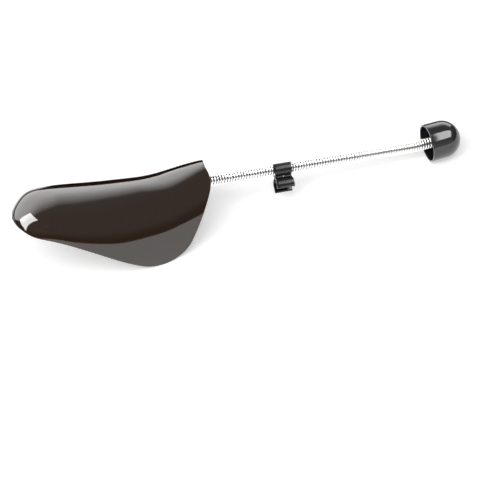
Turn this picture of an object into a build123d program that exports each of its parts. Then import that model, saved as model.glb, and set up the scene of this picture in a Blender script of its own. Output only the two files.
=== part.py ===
import math
import os

from build123d import *

os.makedirs("parts", exist_ok=True)

# Driving dimensions, in millimetres and degrees.
# The stretcher stands as it does on a table: on the two low points of the shell's flanges
# and on the heel cap. X runs from the toe to the heel, and Z is up.
overall_length = 350.0
toe_lift_angle = 25.0  # how far the toe points up when the stretcher rests on a table
cut_over = 2.0  # how far every cutter runs past what it cuts

# Toe shell
shell_length = 142.0
shell_height = 71.0  # of the form's rear end, above the level of the toe's tip
ball_width = 76.5
shell_wall = 1.5
lobe_radius = 30.0  # the round low point of each flange
lobe_centre_x = 99.0
lobe_centre_z = 23.8
lobe_start_angle = 8.0  # slope of the lower edge where the lobe begins
rim_angle = 80.0  # slope of the rear rim
peak_drop = 19.5  # from the form's height down to where the rim rounds over into the peak
peak_reach = 19.5  # how far that round runs forward and up; it ends where it meets the crown

# Anchor inside the crown, where the spring is screwed to the shell
anchor_depth = 22.0  # from the rear end of the form to the web
anchor_height = 44.0
web_thickness = 3.0
web_half_width = 9.0
web_below = 7.5
gusset_thickness = 1.8
gusset_length = 24.0
gusset_offset = 6.5  # of each gusset from the middle
gusset_drop = 4.0
gusset_rise = 2.0

# Spring
spring_diameter = 8.6
wire_diameter = 1.7
coil_pitch = 2.17
wire_sides = 6
end_clearance = 0.25  # between the last coil and what it bears on
bend_reach = 10.0  # length of the slight bend in front of the cap, from its corner to each end

# Plugs and screw
core_clearance = 0.2  # between a plug and the inside of the coils, on the radius
toe_core_length = 9.0
heel_core_length = 3.5
core_taper = 1.0
flange_thickness = 1.2
flange_radius = 4.7
tail_diameter = 4.6
tail_length = 9.0
fixed_clearance = 0.05  # between a pressed or screwed shank and its hole, on the radius
screw_diameter = 2.4
screw_length = 9.0
screw_head_diameter = 5.4
screw_head_height = 1.7
screw_head_rounding = 0.55
screw_slot_width = 0.7
screw_slot_depth = 0.8
web_hole_clearance = 0.2

# Heel cap
cap_diameter = 30.0
cap_skirt = 12.0  # the straight part in front of the dome
cap_wall = 1.4
cap_boss_diameter = 11.0
cap_boss_recess = 8.0  # from the mouth to the face of the boss
cap_rib_thickness = 1.2
cap_rib_count = 4
cap_rib_recess = 12.0
cap_lip_radius = 0.4

# Pair clip
clip_width = 14.0
clip_wall = 1.35
clip_clearance = 0.15
clip_opening_angle = 104.0
clip_bead = 0.95
clip_neck = 5.2
clip_hole_diameter = 1.3
clip_from_anchor = 78.5
clip_hang_angle = 40.0  # how far the free jaw is turned from straight down

# Stations of the shell's form, from the toe to behind the rear rim, each as shares:
# along the length, crown of the height, base of the height, width of half the ball's width,
# and how flat the crown is.
station_shares = (
    (0.0085, 0.075, 0.010, 0.220, 0.68),
    (0.0317, 0.145, 0.022, 0.412, 0.68),
    (0.0704, 0.214, 0.042, 0.608, 0.68),
    (0.1270, 0.266, 0.062, 0.726, 0.68),
    (0.2110, 0.314, 0.050, 0.815, 0.68),
    (0.3240, 0.363, 0.000, 0.911, 0.68),
    (0.4510, 0.427, -0.065, 0.975, 0.67),
    (0.5920, 0.512, -0.100, 1.000, 0.66),
    (0.7320, 0.629, -0.113, 0.968, 0.645),
    (0.8450, 0.781, -0.113, 0.930, 0.61),
    (0.9300, 0.906, -0.113, 0.910, 0.54),
    (1.0000, 1.000, -0.113, 0.895, 0.45),
)
tip_share = 0.012  # height of the toe's tip
side_share = 0.66  # how upright the flanks are
edge_shares = ((-0.02, 0.006), (0.13, 0.062), (0.33, 0.045))  # lower edge, toe to lobe
edge_start_slope_share = 0.25

# The form's own frame: x along the level form, z up from it, tilted by the toe's lift.
# The lobes touch the table, so their centre stands one lobe radius above it.
lift = math.radians(toe_lift_angle)
form_x = Vector(math.cos(lift), 0, -math.sin(lift))
form_z = Vector(math.sin(lift), 0, math.cos(lift))
tip_height = tip_share * shell_height
form_origin = Vector(
    -overall_length / 2 - tip_height * form_z.X,
    0,
    lobe_radius - (lobe_centre_x * form_x.Z + lobe_centre_z * form_z.Z),
)
side_plane = Plane(origin=form_origin, x_dir=form_x, z_dir=(0, -1, 0))


def form_point(x, z):
    """A point of the form's middle plane, in the frame of the whole part."""
    return form_origin + form_x * x + form_z * z


# The cap lies level on the table. The spring runs straight from the anchor to a slight bend
# just in front of the cap's boss, which brings it level too.
cap_radius = cap_diameter / 2
dome_centre = Vector(overall_length / 2 - cap_radius, 0, cap_radius)
boss_front = cap_boss_recess - cap_skirt  # from the dome's centre to the face of the boss
corner_back = flange_thickness + heel_core_length + bend_reach
anchor = form_point(shell_length - anchor_depth, anchor_height)
corner = dome_centre + Vector(boss_front - corner_back, 0, 0)
along = (corner - anchor).normalized()
below = Vector(along.Z, 0, -along.X)
bend_angle = math.asin(-along.Z)
bend_radius = bend_reach / math.tan(bend_angle / 2)
bend_length = bend_radius * bend_angle
straight_length = (corner - anchor).length - bend_reach
spring_length = straight_length + bend_length + corner_back - bend_reach


def across(distance):
    """The plane square to the spring's axis, that far from the anchor."""
    return Plane(origin=anchor + along * distance, x_dir=(0, 1, 0), z_dir=along)


def in_cap(distance):
    """The plane that holds the cap's axis, with x along it, that far from the dome's centre."""
    return Plane(origin=dome_centre + Vector(distance, 0, 0), x_dir=(1, 0, 0), z_dir=(0, -1, 0))


def across_cap(distance):
    """The plane square to the cap's axis, that far from the dome's centre."""
    return Plane(origin=dome_centre + Vector(distance, 0, 0), x_dir=(0, 1, 0), z_dir=(1, 0, 0))


lengthwise = Plane(origin=anchor, x_dir=along, z_dir=(0, -1, 0))
spring_axis = Axis(anchor, along)
cap_axis = Axis(dome_centre, (1, 0, 0))


def form_section(shares, inset, drop):
    """One arch of the form: two curves that meet level at the crown and stand on a line."""
    along_share, crown_share, base_share, width_share, crown_flat_share = shares
    x = inset + along_share * (shell_length - 2 * inset)
    crown = crown_share * shell_height - inset
    base = min(base_share * shell_height, crown - inset)
    half = width_share * ball_width / 2 - inset
    shoulder = base + side_share * (crown - base)
    plane = Plane(origin=form_point(x, 0), x_dir=(0, 1, 0), z_dir=form_x)
    with BuildSketch(plane) as section:
        with BuildLine():
            for side in (1, -1):
                Bezier(
                    (0, crown),
                    (side * crown_flat_share * half, crown),
                    (side * half, shoulder),
                    (side * half, base - drop),
                )
            Line((-half, base - drop), (half, base - drop))
        make_face()
    return section.sketch


def form_solid(inset, drop):
    """The whole form, set in by a wall's thickness or a share of it."""
    tip = form_point(inset, tip_height)
    sections = [form_section(shares, inset, drop) for shares in station_shares]
    with BuildPart() as form:
        loft(sections=[Vertex(tip.X, tip.Y, tip.Z)] + sections, clean=False)
    return form.part


# Toe shell: the form less its inside, trimmed by its side view
rim_slope = math.radians(rim_angle)
lobe_slope = math.radians(lobe_start_angle)
lobe_start = (
    lobe_centre_x - lobe_radius * math.sin(lobe_slope),
    lobe_centre_z - lobe_radius * math.cos(lobe_slope),
)
lobe_end = (
    lobe_centre_x + lobe_radius * math.sin(rim_slope),
    lobe_centre_z - lobe_radius * math.cos(rim_slope),
)
rim_top_z = shell_height - peak_drop
rim_top = (lobe_end[0] + (rim_top_z - lobe_end[1]) / math.tan(rim_slope), rim_top_z)
peak_front = (rim_top[0] - peak_reach, rim_top[1] + peak_reach)
above = shell_height + ball_width

# The web that carries the spring, and its two gussets, reach half way into the wall
with BuildPart() as web:
    with BuildSketch(across(0)):
        with BuildLine():
            ThreePointArc((-web_half_width, 0), (0, -web_below), (web_half_width, 0))
            Polyline(
                (web_half_width, 0),
                (web_half_width, shell_height),
                (-web_half_width, shell_height),
                (-web_half_width, 0),
            )
        make_face()
    extrude(amount=-web_thickness)
    for side in (1, -1):
        with BuildSketch(lengthwise.offset(side * gusset_offset)):
            with BuildLine():
                Polyline(
                    (-web_thickness / 2, shell_height),
                    (-web_thickness / 2, -gusset_drop),
                    (-gusset_length, gusset_rise),
                    (-gusset_length, shell_height),
                    close=True,
                )
            make_face()
        extrude(amount=gusset_thickness / 2, both=True)
    add(form_solid(shell_wall / 2, cut_over), mode=Mode.INTERSECT)

with BuildPart() as toe_shell:
    add(form_solid(0, 2 * cut_over), clean=False)
    add(form_solid(shell_wall, cut_over), mode=Mode.SUBTRACT, clean=False)
    add(web.part)
    with Locations(across(0)):
        Cylinder(
            screw_diameter / 2 + web_hole_clearance,
            2 * (web_thickness + cut_over),
            mode=Mode.SUBTRACT,
        )

    with BuildSketch(side_plane):
        with BuildLine():
            Spline(
                *[(x * shell_length, z * shell_height) for x, z in edge_shares],
                lobe_start,
                tangents=[(1, edge_start_slope_share), (math.cos(lobe_slope), -math.sin(lobe_slope))],
            )
            RadiusArc(lobe_start, lobe_end, -lobe_radius)
            Line(lobe_end, rim_top)
            TangentArc(rim_top, peak_front, tangent=(math.cos(rim_slope), math.sin(rim_slope)))
            Polyline(
                peak_front,
                (peak_front[0], above),
                (edge_shares[0][0] * shell_length, above),
                (edge_shares[0][0] * shell_length, edge_shares[0][1] * shell_height),
            )
        make_face()
    extrude(amount=ball_width, both=True, mode=Mode.INTERSECT)
toe_shell.part.label = "toe_shell"
export_step(toe_shell.part, "parts/toe_shell.step")

# Coil spring: one wire from the toe plug's flange to the heel plug's flange
coil_radius = (spring_diameter - wire_diameter) / 2
spring_start = flange_thickness + end_clearance + wire_diameter / 2
spring_end = spring_length - spring_start
turn_count = round((spring_end - spring_start) / coil_pitch)
turn_rise = (spring_end - spring_start) / turn_count
steps_per_turn = 2
side_dir = Vector(0, 1, 0)


def spring_frame(turn):
    """The spring's centre, its direction and the way down, after that many turns."""
    distance = spring_start + turn_rise * turn
    bent = min(max(distance - straight_length, 0), bend_length)
    dip = bend_angle - bent / bend_radius
    heading = Vector(math.cos(dip), 0, -math.sin(dip))
    under = Vector(-math.sin(dip), 0, -math.cos(dip))
    place = anchor + along * min(distance, straight_length) + (under - below) * bend_radius
    return place + heading * max(distance - straight_length - bend_length, 0), heading, under


def coil_point(turn):
    """The wire's centre after that many turns."""
    angle = 2 * math.pi * turn
    place, _, under = spring_frame(turn)
    return place + (side_dir * math.cos(angle) + under * math.sin(angle)) * coil_radius


def coil_heading(turn):
    """The wire's direction after that many turns."""
    angle = 2 * math.pi * turn
    _, heading, under = spring_frame(turn)
    round_way = under * math.cos(angle) - side_dir * math.sin(angle)
    return (heading * turn_rise / (2 * math.pi) + round_way * coil_radius).normalized()


def coil_arcs(turn):
    """The two arcs of one step of the wire, which meet in a common direction."""
    first, last = coil_point(turn), coil_point(turn + 1 / steps_per_turn)
    first_way, last_way = coil_heading(turn), coil_heading(turn + 1 / steps_per_turn)
    chord, ways = last - first, first_way + last_way
    spread = 2 * (1 - first_way.dot(last_way))
    reach = (math.sqrt(chord.dot(ways) ** 2 + spread * chord.dot(chord)) - chord.dot(ways)) / spread
    near, far = first + first_way * reach, last - last_way * reach
    middle = (near + far) * 0.5
    return (
        TangentArc(first, middle, tangent=first_way),
        TangentArc(middle, last, tangent=(far - near).normalized()),
    )


# The arcs are gathered outside the part, because a line block slows down with each one
wire_arcs = []
for step in range(turn_count * steps_per_turn):
    wire_arcs += coil_arcs(step / steps_per_turn)
samples_per_turn = 16
wire_points = [coil_point(i / samples_per_turn) for i in range(turn_count * samples_per_turn + 1)]
least_gap = min(
    (wire_points[i] - wire_points[j]).length
    for i in range(len(wire_points) - samples_per_turn // 2)
    for j in range(i + samples_per_turn // 2, min(i + 2 * samples_per_turn, len(wire_points)))
) - wire_diameter
print(f"spring: {turn_count} turns, coil radius {coil_radius:.2f}, least gap to itself {least_gap:.2f} mm")

with BuildPart() as coil_spring:
    with BuildSketch(Plane(origin=coil_point(0), z_dir=coil_heading(0))):
        RegularPolygon(wire_diameter / 2, wire_sides)
    sweep(path=Wire(wire_arcs), clean=False)
coil_spring.part.label = "coil_spring"
export_step(coil_spring.part, "parts/coil_spring.step")

# Toe plug: a flange between the web and the spring, and a core inside the coils
core_radius = spring_diameter / 2 - wire_diameter - core_clearance
with BuildPart() as toe_plug:
    with BuildSketch(lengthwise):
        with BuildLine():
            Polyline(
                (0, 0),
                (0, flange_radius),
                (flange_thickness, flange_radius),
                (flange_thickness, core_radius),
                (flange_thickness + toe_core_length - core_taper, core_radius),
                (flange_thickness + toe_core_length, core_radius - core_taper),
                (flange_thickness + toe_core_length, 0),
                close=True,
            )
        make_face()
    revolve(axis=spring_axis)
    with Locations(across(0)):
        Cylinder(
            screw_diameter / 2 + fixed_clearance,
            screw_length - web_thickness + fixed_clearance,
            align=(Align.CENTER, Align.CENTER, Align.MIN),
            mode=Mode.SUBTRACT,
        )
toe_plug.part.label = "toe_plug"
export_step(toe_plug.part, "parts/toe_plug.step")

# Toe screw: its head bears on the front of the web
with BuildPart() as toe_screw:
    with BuildSketch(across(-web_thickness)):
        Circle(screw_diameter / 2)
    extrude(amount=screw_length)
    with BuildSketch(across(-web_thickness)):
        Circle(screw_head_diameter / 2)
    extrude(amount=-screw_head_height)
    head_edges = toe_screw.edges().filter_by(GeomType.CIRCLE).sort_by(SortBy.RADIUS)[-2:]
    fillet(head_edges.sort_by(spring_axis)[0], screw_head_rounding)
    with BuildSketch(across(-web_thickness - screw_head_height)):
        Rectangle(screw_head_diameter - screw_head_height, screw_slot_width)
        Rectangle(screw_slot_width, screw_head_diameter - screw_head_height)
    extrude(amount=screw_slot_depth, mode=Mode.SUBTRACT)
toe_screw.part.label = "toe_screw"
export_step(toe_screw.part, "parts/toe_screw.step")

# Heel cap: a thin dome on a short skirt, with a ribbed boss for the heel plug
inner_radius = cap_radius - cap_wall
boss_radius = cap_boss_diameter / 2
rib_start = cap_rib_recess - cap_skirt
with BuildPart() as ribs:
    with BuildSketch(across_cap(rib_start)):
        with PolarLocations(0, cap_rib_count // 2, angular_range=180):
            Rectangle(cap_diameter, cap_rib_thickness)
    extrude(amount=cap_radius)
    with Locations(across_cap(0)):
        Sphere(cap_radius - cap_wall / 2, mode=Mode.INTERSECT)

with BuildPart() as heel_cap:
    with BuildSketch(in_cap(0)):
        with BuildLine():
            Polyline((0, 0), (-cap_skirt, 0), (-cap_skirt, cap_radius), (0, cap_radius))
            RadiusArc((0, cap_radius), (cap_radius, 0), cap_radius)
            Line((cap_radius, 0), (0, 0))
        make_face()
        with BuildLine():
            Polyline(
                (0, 0),
                (-cap_skirt - cut_over, 0),
                (-cap_skirt - cut_over, inner_radius),
                (0, inner_radius),
            )
            RadiusArc((0, inner_radius), (inner_radius, 0), inner_radius)
            Line((inner_radius, 0), (0, 0))
        make_face(mode=Mode.SUBTRACT)
    revolve(axis=cap_axis)
    mouth = heel_cap.edges().filter_by(GeomType.CIRCLE).group_by(cap_axis)[0]
    fillet(mouth, cap_lip_radius)
    with BuildSketch(across_cap(boss_front)):
        Circle(boss_radius)
    extrude(amount=inner_radius - boss_front)
    add(ribs.part)
    with BuildSketch(across_cap(boss_front)):
        Circle(tail_diameter / 2 + fixed_clearance)
    extrude(amount=tail_length + fixed_clearance, mode=Mode.SUBTRACT)
heel_cap.part.label = "heel_cap"
export_step(heel_cap.part, "parts/heel_cap.step")

# Heel plug: a core inside the coils, a flange, and a tail pressed into the cap's boss
with BuildPart() as heel_plug:
    with BuildSketch(in_cap(boss_front)):
        with BuildLine():
            Polyline(
                (-flange_thickness - heel_core_length, 0),
                (-flange_thickness - heel_core_length, core_radius - core_taper),
                (-flange_thickness - heel_core_length + core_taper, core_radius),
                (-flange_thickness, core_radius),
                (-flange_thickness, flange_radius),
                (0, flange_radius),
                (0, tail_diameter / 2),
                (tail_length - core_taper, tail_diameter / 2),
                (tail_length, tail_diameter / 2 - core_taper),
                (tail_length, 0),
                close=True,
            )
        make_face()
    revolve(axis=cap_axis)
heel_plug.part.label = "heel_plug"
export_step(heel_plug.part, "parts/heel_plug.step")

# Pair clip: two jaws back to back, one on this spring and one for its pair's spring
hang = math.radians(clip_hang_angle)
hang_dir = below * math.cos(hang) - side_dir * math.sin(hang)
clip_centre = anchor + along * clip_from_anchor
clip_plane = Plane(origin=clip_centre, x_dir=hang_dir, z_dir=along)
jaw_inner = spring_diameter / 2 + clip_clearance
jaw_outer = jaw_inner + clip_wall
jaw_spacing = 2 * jaw_outer
half_opening = math.radians(clip_opening_angle / 2)
with BuildPart() as pair_clip:
    with BuildSketch(clip_plane):
        with Locations((0, 0), (jaw_spacing, 0)):
            Circle(jaw_outer)
        with Locations((jaw_spacing / 2, 0)):
            Rectangle(2 * clip_wall, clip_neck)
        for jaw_x, way in ((0, -1), (jaw_spacing, 1)):
            wedge_x = jaw_x + way * jaw_spacing * math.cos(half_opening)
            wedge_y = jaw_spacing * math.sin(half_opening)
            with BuildLine():
                Polyline((jaw_x, 0), (wedge_x, wedge_y), (wedge_x, -wedge_y), close=True)
            make_face(mode=Mode.SUBTRACT)
            bead_x = jaw_x + way * (jaw_inner + clip_bead) * math.cos(half_opening)
            bead_y = (jaw_inner + clip_bead) * math.sin(half_opening)
            with Locations((bead_x, bead_y), (bead_x, -bead_y)):
                Circle(clip_bead)
            with Locations((jaw_x, 0)):
                Circle(jaw_inner, mode=Mode.SUBTRACT)
    extrude(amount=clip_width / 2, both=True)
    with Locations(Plane(origin=clip_centre + hang_dir * jaw_spacing / 2, z_dir=hang_dir.cross(along))):
        Cylinder(clip_hole_diameter / 2, jaw_spacing, mode=Mode.SUBTRACT)
pair_clip.part.label = "pair_clip"
export_step(pair_clip.part, "parts/pair_clip.step")

# Places that the motion of the parts is described by
for name, place in (
    ("anchor", anchor),
    ("axis direction", along),
    ("corner", corner),
    ("dome centre", dome_centre),
    ("clip centre", clip_centre),
    ("free jaw centre", clip_centre + hang_dir * jaw_spacing),
):
    print(f"{name}: {place.X:.3f} {place.Y:.3f} {place.Z:.3f}")
print(f"straight {straight_length:.2f}, bend radius {bend_radius:.2f}, jaw radius {jaw_inner:.3f}")
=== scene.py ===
import bpy
import bmesh
import math
import numpy as np
from mathutils import Matrix, Vector


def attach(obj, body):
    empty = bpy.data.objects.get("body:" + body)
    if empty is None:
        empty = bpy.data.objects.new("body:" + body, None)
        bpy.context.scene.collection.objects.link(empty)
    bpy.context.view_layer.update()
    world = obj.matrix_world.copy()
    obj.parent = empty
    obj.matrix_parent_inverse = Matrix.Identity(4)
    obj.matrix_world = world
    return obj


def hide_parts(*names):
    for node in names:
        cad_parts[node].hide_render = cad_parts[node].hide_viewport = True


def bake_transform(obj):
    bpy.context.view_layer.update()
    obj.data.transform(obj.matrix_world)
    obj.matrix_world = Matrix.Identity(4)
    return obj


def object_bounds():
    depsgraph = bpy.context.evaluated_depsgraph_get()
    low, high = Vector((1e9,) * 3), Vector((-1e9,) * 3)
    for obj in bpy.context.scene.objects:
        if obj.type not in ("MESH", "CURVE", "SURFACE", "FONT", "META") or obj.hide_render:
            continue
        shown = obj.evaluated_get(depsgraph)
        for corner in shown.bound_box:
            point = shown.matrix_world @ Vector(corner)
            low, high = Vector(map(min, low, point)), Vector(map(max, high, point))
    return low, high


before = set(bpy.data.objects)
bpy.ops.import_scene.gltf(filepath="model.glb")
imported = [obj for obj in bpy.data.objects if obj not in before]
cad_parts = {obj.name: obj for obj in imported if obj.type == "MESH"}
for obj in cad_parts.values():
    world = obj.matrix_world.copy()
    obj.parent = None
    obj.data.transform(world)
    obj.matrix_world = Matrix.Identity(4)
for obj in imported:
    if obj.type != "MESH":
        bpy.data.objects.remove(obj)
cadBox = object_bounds()
print("frame loaded:", ", ".join(sorted(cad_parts)))

mm = 0.001

# how meshes are finished
meshing = {
    "sharpDeg": 35,  # edges that turn more than this show as edges
    "bevelDeg": 40,  # and bars are bevelled where they turn more than this
    "bevelSegments": 3,
    "gridWeld": 4e-6,  # points nearer than this are made one
    "latheWeld": 2e-6,
    "wireWeld": 1e-6,
    "drillSides": 24,
    "drillAside": (0.31, 0.85, 0.42),  # any way that no hole runs along
    "drillReach": 4,  # a drill's length, times the size that it is given
    "halvings": 30,  # of a span in which a place is searched
    "tiny": 1e-9,  # metres; keeps what divides away from zero
}


# shared tools
def splineThrough(knots, values, at, startSlope=None, endSlope=None):
    # cubic through (knots, values): second derivatives m solve the usual three-term rows,
    # and the ends have m = 0 or the given slope; then the four-term cubic is read off at each place
    h = np.diff(knots)
    d = np.diff(values) / h
    n = len(knots)
    rows = np.zeros((n, n))
    right = np.zeros(n)
    inner = np.arange(1, n - 1)
    rows[inner, inner - 1] = h[:-1]
    rows[inner, inner] = 2 * (h[:-1] + h[1:])
    rows[inner, inner + 1] = h[1:]
    right[inner] = 6 * np.diff(d)
    rows[0, 0] = rows[-1, -1] = 1
    if startSlope is not None:
        rows[0, :2] = 2 * h[0], h[0]
        right[0] = 6 * (d[0] - startSlope)
    if endSlope is not None:
        rows[-1, -2:] = h[-1], 2 * h[-1]
        right[-1] = 6 * (endSlope - d[-1])
    m = np.linalg.solve(rows, right)
    k = np.clip(np.searchsorted(knots, at) - 1, 0, n - 2)
    a, b = knots[k + 1] - at, at - knots[k]
    return (
        (m[k] * a**3 + m[k + 1] * b**3) / (6 * h[k])
        + (values[k] / h[k] - m[k] * h[k] / 6) * a
        + (values[k + 1] / h[k] - m[k + 1] * h[k] / 6) * b
    )


def lastWhere(test, high):
    # the last places between 0 and high at which test still holds, by halving the span
    low = np.zeros_like(high)
    for _ in range(meshing["halvings"]):
        middle = (low + high) / 2
        holds = test(middle)
        low, high = np.where(holds, middle, low), np.where(holds, high, middle)
    return low


def wayAt(deg):
    # the way (cos, sin) at an angle
    return np.array([math.cos(math.radians(deg)), math.sin(math.radians(deg))])


def degOf(way):
    # the angle of a way in a plane
    return math.degrees(math.atan2(way[1], way[0]))


def turned(x, z, deg):
    # (x, z) turned by an angle from z towards x
    c, s = wayAt(deg)
    return x * c + z * s, z * c - x * s


def unitWays(ways):
    # each way divided by its length
    return ways / np.maximum(np.linalg.norm(ways, axis=-1, keepdims=True), meshing["tiny"] ** 2)


def arc(centre, radius, fromDeg, toDeg, count):
    # points of a circle, centre + radius (cos, sin), from one angle to the other
    a = np.radians(np.linspace(fromDeg, toDeg, count))
    return np.stack([centre[0] + radius * np.cos(a), centre[1] + radius * np.sin(a)], -1)


def lengthAlong(line):
    # how far along a line of points each of them is: the sum of the steps before it
    return np.concatenate([[0], np.cumsum(np.hypot(*np.diff(line, axis=0).T))])


def gridQuads(rows, columns, closeRows=False, closeColumns=False):
    # quad (i, j) joins points i*columns+j and its next ones; a closed way wraps round
    i = np.arange(rows if closeRows else rows - 1)[:, None]
    j = np.arange(columns if closeColumns else columns - 1)[None, :]
    nextI, nextJ = (i + 1) % rows, (j + 1) % columns
    corners = [i * columns + j, nextI * columns + j, nextI * columns + nextJ, i * columns + nextJ]
    return np.stack(np.broadcast_arrays(*corners), -1).reshape(-1, 4)


def shadeSmooth(mesh, keepEdges):
    # smooth all over, apart from the sharp edges where these are kept
    mesh.polygons.foreach_set("use_smooth", np.ones(len(mesh.polygons), bool))
    if keepEdges:
        mesh.set_sharp_from_angle(angle=math.radians(meshing["sharpDeg"]))
    mesh.update()


def addMesh(name, points, faces, material, weld=0.0, edges=False, outward=None, uvs=None, closed=False):
    # points (n, 3) and faces go in whole; doubles nearer than weld are merged, closed shells get
    # their normals worked out anew, and the faces of others are turned over where the one
    # farthest along outward looks the wrong way
    mesh = bpy.data.meshes.new(name)
    mesh.from_pydata(points.tolist(), [], [list(map(int, f)) for f in faces])
    if uvs is not None:
        corners = np.zeros(len(mesh.loops), np.int32)
        mesh.loops.foreach_get("vertex_index", corners)
        layer = mesh.uv_layers.new(name="surface")
        layer.data.foreach_set("uv", uvs[corners].astype(np.float32).ravel())
    work = bmesh.new()
    work.from_mesh(mesh)
    if weld:
        bmesh.ops.remove_doubles(work, verts=work.verts, dist=weld)
        bmesh.ops.dissolve_degenerate(work, edges=work.edges, dist=weld / 2)
    if closed:
        bmesh.ops.recalc_face_normals(work, faces=work.faces)
        bmesh.ops.triangulate(work, faces=[f for f in work.faces if len(f.verts) > 4])
    if outward is not None:
        way = Vector(outward)
        top = max(work.faces, key=lambda f: f.calc_center_median().dot(way))
        if top.normal.dot(way) < 0:
            bmesh.ops.reverse_faces(work, faces=work.faces)
    work.to_mesh(mesh)
    work.free()
    shadeSmooth(mesh, edges)
    piece = bpy.data.objects.new(name, mesh)
    bpy.context.scene.collection.objects.link(piece)
    mesh.materials.append(material)
    return piece


def lathe(name, profile, centre, turns, material):
    # profile (s, r): s runs along X from centre, r is the radius, and both ends are on the axis;
    # each point turns round X as (s, r cos a, r sin a), and the poles are welded
    a = np.linspace(0, 2 * np.pi, turns, endpoint=False)[:, None]
    s, r = profile[:, 0][None, :], profile[:, 1][None, :]
    places = centre[0] + s, centre[1] + r * np.cos(a), centre[2] + r * np.sin(a)
    points = np.stack(np.broadcast_arrays(*places), -1).reshape(-1, 3)
    faces = gridQuads(turns, len(profile), closeRows=True)
    return addMesh(name, points, faces, material, weld=meshing["latheWeld"], edges=True, closed=True)


def addBars(name, bars, material, bevel):
    # each bar is rings of four points (n, 4, 3): walls between the rings and a quad at each end,
    # and its edges are bevelled
    points, faces, start = [], [], 0
    for rings in bars:
        count = len(rings)
        last = start + (count - 1) * 4
        ends = [[start, start + 1, start + 2, start + 3], [last + 3, last + 2, last + 1, last]]
        points.append(rings.reshape(-1, 3))
        faces.append(np.concatenate([gridQuads(count, 4, closeColumns=True) + start, ends]))
        start += count * 4
    points, faces = np.concatenate(points), np.concatenate(faces)
    piece = addMesh(name, points, faces, material, edges=True, closed=True)
    rounding = piece.modifiers.new("edges", "BEVEL")
    rounding.width, rounding.segments = bevel, meshing["bevelSegments"]
    rounding.limit_method, rounding.angle_limit = "ANGLE", math.radians(meshing["bevelDeg"])
    return piece


def drill(piece, centre, way, radius, size):
    # a round hole: a many-sided bar, centre + radius (side cos b + up sin b) at both its ends,
    # is taken away from the piece; it is drillReach sizes long
    way = way / np.linalg.norm(way)
    side = np.cross(way, meshing["drillAside"])
    side /= np.linalg.norm(side)
    sides, half = meshing["drillSides"], way * size * meshing["drillReach"] / 2
    b = np.linspace(0, 2 * np.pi, sides, endpoint=False)[:, None]
    ring = radius * (np.cos(b) * side + np.sin(b) * np.cross(way, side))
    points = np.concatenate([centre + ring - half, centre + ring + half])
    ends = [list(range(sides)), list(range(sides, 2 * sides))]
    faces = gridQuads(2, sides, closeColumns=True).tolist() + ends
    cutter = addMesh("cutter", points, faces, piece.data.materials[0], closed=True)
    cut = piece.modifiers.new("hole", "BOOLEAN")
    cut.object, cut.operation, cut.solver = cutter, "DIFFERENCE", "EXACT"
    graph = bpy.context.evaluated_depsgraph_get()
    holed = bpy.data.meshes.new_from_object(piece.evaluated_get(graph))
    piece.modifiers.remove(cut)
    piece.data = holed
    bpy.data.objects.remove(cutter)
    shadeSmooth(holed, True)


# nodes
def put(tree, kind, inputs=(), **settings):
    # a node with its settings; each input, by name or number, gets a value or, where an output
    # of another node is given, a link from it
    node = tree.nodes.new(kind)
    for key, value in settings.items():
        setattr(node, key, value)
    fill(tree, node, inputs)
    return node


def fill(tree, node, inputs):
    # what put says of a node's inputs, for one that is there already
    for key, value in dict(inputs).items():
        if isinstance(value, bpy.types.NodeSocket):
            tree.links.new(value, node.inputs[key])
        else:
            node.inputs[key].default_value = value


def calc(tree, operation, *values, **settings):
    # a sum of numbers and outputs
    node = put(tree, "ShaderNodeMath", enumerate(values), operation=operation, **settings)
    return node.outputs[0]


def spread(tree, value, span, onto=(0.0, 1.0), **settings):
    # the value, taken from one span onto another and kept inside it
    inputs = {"Value": value, "From Min": span[0], "From Max": span[1], "To Min": onto[0], "To Max": onto[1]}
    return put(tree, "ShaderNodeMapRange", inputs, **settings).outputs["Result"]


def noise(tree, place, scale, detail):
    # soft noise of 0 to 1
    inputs = {"Vector": place, "Scale": scale, "Detail": detail}
    return put(tree, "ShaderNodeTexNoise", inputs).outputs["Fac"]


def mixColors(tree, factor, first, second):
    # the first colour where the factor is 0, the second where it is 1
    inputs = {"Factor": factor, 6: first, 7: second}
    return put(tree, "ShaderNodeMix", inputs, data_type="RGBA").outputs[2]


def partOf(tree, value, axis):
    # one of a vector's three numbers
    return put(tree, "ShaderNodeSeparateXYZ", {0: value}).outputs[axis]


def newGroup(name, inputs, outputs):
    # a shader node group with named sockets: an input whose first value is four numbers is a
    # colour, and others are numbers
    group = bpy.data.node_groups.new(name, "ShaderNodeTree")
    for label, value in inputs.items():
        kind = "NodeSocketColor" if isinstance(value, tuple) else "NodeSocketFloat"
        group.interface.new_socket(name=label, in_out="INPUT", socket_type=kind).default_value = value
    for label, kind in outputs.items():
        group.interface.new_socket(name=label, in_out="OUTPUT", socket_type=kind)
    return group, group.nodes.new("NodeGroupInput").outputs, group.nodes.new("NodeGroupOutput")


def newMaterial(name, inputs):
    # a material, its tree and its shader, whose own inputs get the values
    material = bpy.data.materials.new(name)
    material.use_nodes = True
    shader = material.node_tree.nodes["Principled BSDF"]
    fill(material.node_tree, shader, inputs)
    return material, material.node_tree, shader


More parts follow.
